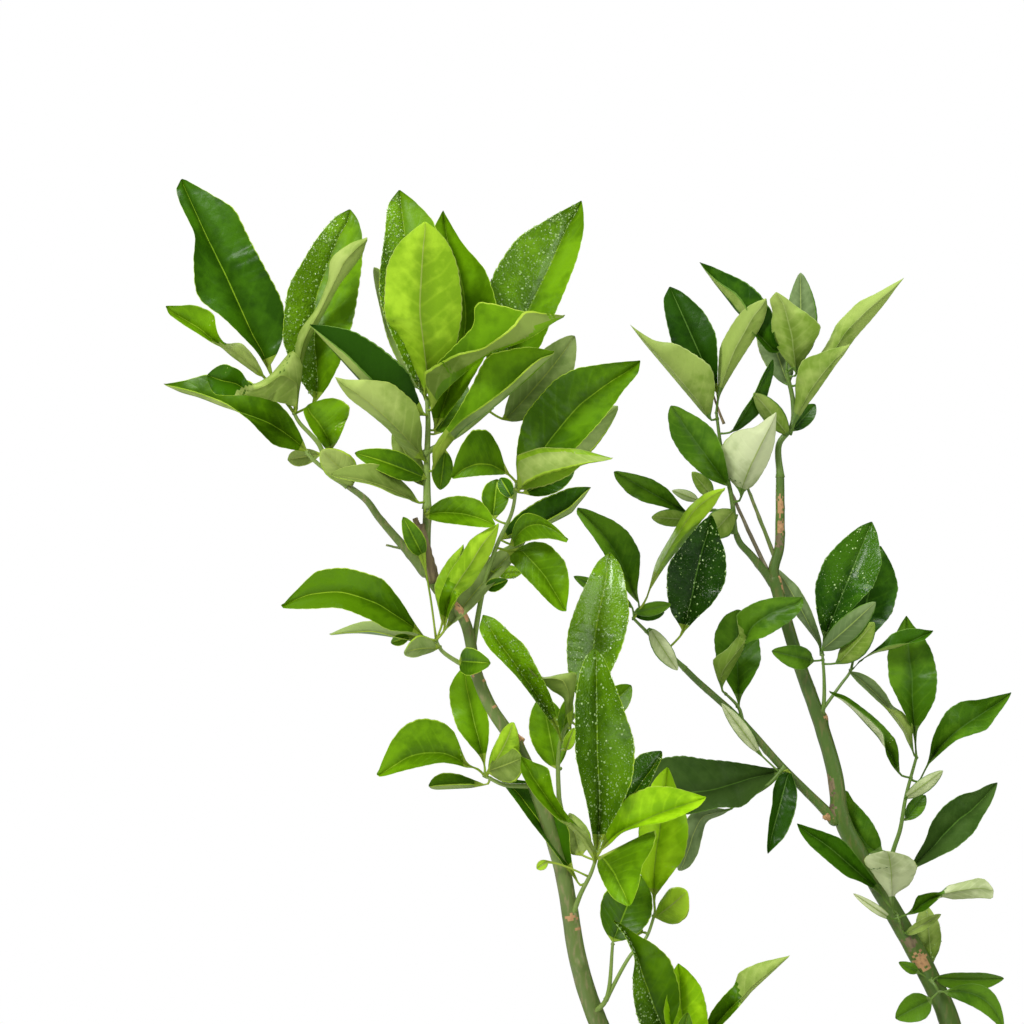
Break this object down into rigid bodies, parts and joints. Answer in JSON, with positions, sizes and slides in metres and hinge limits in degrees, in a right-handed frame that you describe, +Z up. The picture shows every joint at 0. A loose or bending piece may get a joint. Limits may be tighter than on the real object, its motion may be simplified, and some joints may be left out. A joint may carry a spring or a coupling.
{
  "type": "potted orange tree",
  "caption": "Young orange tree just under a metre tall in a plain clay pot, with a short trunk, forked boughs and leafy shoots.",
  "frame": {"origin": "middle of the pot's flat underside", "axes": "+Z up along the trunk; -Y towards the front, the side with the two tall leafy shoots in full view; +X to the right seen from the front"},
  "size_m": [0.7249, 0.5701, 0.9742],
  "materials": {
    "clay": "matte",
    "soil": "matte",
    "bark": "matte",
    "leaves": "satin"
  },
  "bodies": {
    "root": {"back_high_bough": "bark", "back_high_side_spray": "leaves", "back_high_top_spray": "leaves", "back_left_bough": "bark", "back_left_spray": "leaves", "front_left_bough": "bark", "front_left_spray": "leaves", "front_right_bough": "bark", "front_right_spray": "leaves", "left_bough": "bark", "left_crown": "leaves", "left_foot_spray": "leaves", "left_front_spray": "leaves", "left_inner_spray": "leaves", "left_inside_spray": "leaves", "left_low_bough": "bark", "left_low_spray": "leaves", "left_low_spray_end": "leaves", "left_outer_spray": "leaves", "left_side_bough": "bark", "left_side_spray": "leaves", "left_tall_spray": "leaves", "left_upper_spray": "leaves", "outer_high_bough": "bark", "outer_high_side_spray": "leaves", "outer_high_top_spray": "leaves", "outer_inside_spray": "leaves", "pot": "clay", "right_bough": "bark", "right_branch": "bark", "right_branch_low_spray": "leaves", "right_branch_middle_spray": "leaves", "right_branch_tip_spray": "leaves", "right_crown": "leaves", "right_crown_left_spray": "leaves", "right_foot_spray": "leaves", "right_inner_spray": "leaves", "right_inside_spray": "leaves", "right_low_bough": "bark", "right_low_spray": "leaves", "right_low_spray_end": "leaves", "right_outer_spray": "leaves", "right_twin_bough": "bark", "right_upper_bough": "bark", "soil": "soil", "trunk": "bark"}
  },
  "joints": []
}
